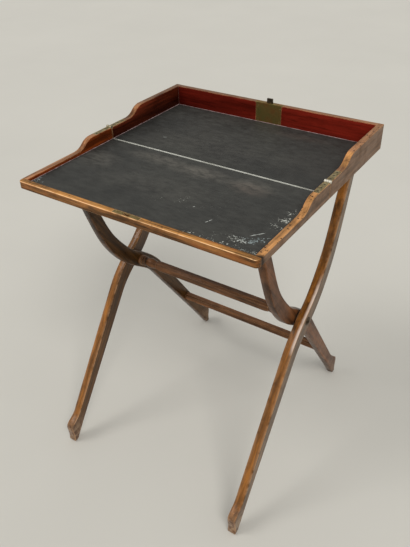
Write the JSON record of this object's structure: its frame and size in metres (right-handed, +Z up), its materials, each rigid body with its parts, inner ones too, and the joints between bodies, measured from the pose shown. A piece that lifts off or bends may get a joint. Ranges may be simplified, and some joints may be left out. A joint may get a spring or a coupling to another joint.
{
  "type": "folding writing table",
  "caption": "Folding writing slope on crossed curved legs: a shallow hinged wooden box opens flat as a dark writing surface with a raised back.",
  "frame": {"origin": "on the floor below the middle of the hinge line of the box", "axes": "+X to the sitter's right along the hinge line, +Y from the sitter to the back, +Z up"},
  "size_m": [0.534, 0.5932, 0.7684],
  "materials": {
    "box_mahogany": "worn polish",
    "board_mahogany": "worn polish",
    "leg_mahogany": "satin",
    "leathercloth": "worn satin",
    "brass": "aged",
    "dark_steel": "aged"
  },
  "bodies": {
    "rear_leaf": {"rear_board": "board_mahogany", "rear_skin": "leathercloth", "rear_back_wall": "box_mahogany", "rear_left_side": "box_mahogany", "rear_right_side": "box_mahogany", "rear_left_hinge_strap": "brass", "rear_right_hinge_strap": "brass", "hinge_pins": "brass", "rear_hinge_screws": "dark_steel", "lock_plate": "brass", "lock_case": "brass", "lock_screws": "dark_steel", "key_escutcheon": "brass", "rear_left_bracket": "brass", "rear_right_bracket": "brass", "rear_bracket_pins": "brass", "rear_bracket_screws": "dark_steel"},
    "front_leaf": {"front_board": "board_mahogany", "front_skin": "leathercloth", "front_rail": "box_mahogany", "front_left_side": "box_mahogany", "front_right_side": "box_mahogany", "front_left_hinge_strap": "brass", "front_right_hinge_strap": "brass", "front_hinge_screws": "dark_steel", "strike_plate": "brass", "strike_screws": "dark_steel", "front_left_bracket": "brass", "front_right_bracket": "brass", "front_bracket_pins": "brass", "front_bracket_screws": "dark_steel"},
    "outer_frame": {"outer_left_leg": "leg_mahogany", "outer_right_leg": "leg_mahogany", "outer_top_rail": "leg_mahogany", "pivot_screws": "dark_steel", "pivot_head_washers": "dark_steel", "pivot_spacer_washers": "brass"},
    "inner_frame": {"inner_left_leg": "leg_mahogany", "inner_right_leg": "leg_mahogany", "inner_top_rail": "leg_mahogany", "pivot_stretcher": "leg_mahogany", "lower_stretcher": "leg_mahogany"},
    "bolt": {"lock_bolt": "brass"}
  },
  "joints": [
    {"name": "fold", "type": "hinge", "parent": "rear_leaf", "child": "front_leaf", "pos_m": [0, 0, 0.7387], "axis": [-1, 0, 0], "range_deg": [0, 180]},
    {"name": "outer_frame_swing", "type": "hinge", "parent": "rear_leaf", "child": "outer_frame", "pos_m": [0, 0.168, 0.6915], "axis": [-1, 0, 0], "range_deg": [0, 67.86]},
    {"name": "inner_frame_swing", "type": "hinge", "parent": "front_leaf", "child": "inner_frame", "pos_m": [0, -0.168, 0.6915], "axis": [1, 0, 0], "range_deg": [0, 67.86]},
    {"name": "bolt_throw", "type": "slide", "parent": "rear_leaf", "child": "bolt", "axis": [0, 0, 1], "range_m": [-0.0105, 0]}
  ],
  "couplings": [
    {"joint": "outer_frame_swing", "follows": "fold", "ratio": 0.37694},
    {"joint": "inner_frame_swing", "follows": "fold", "ratio": 0.37694}
  ]
}
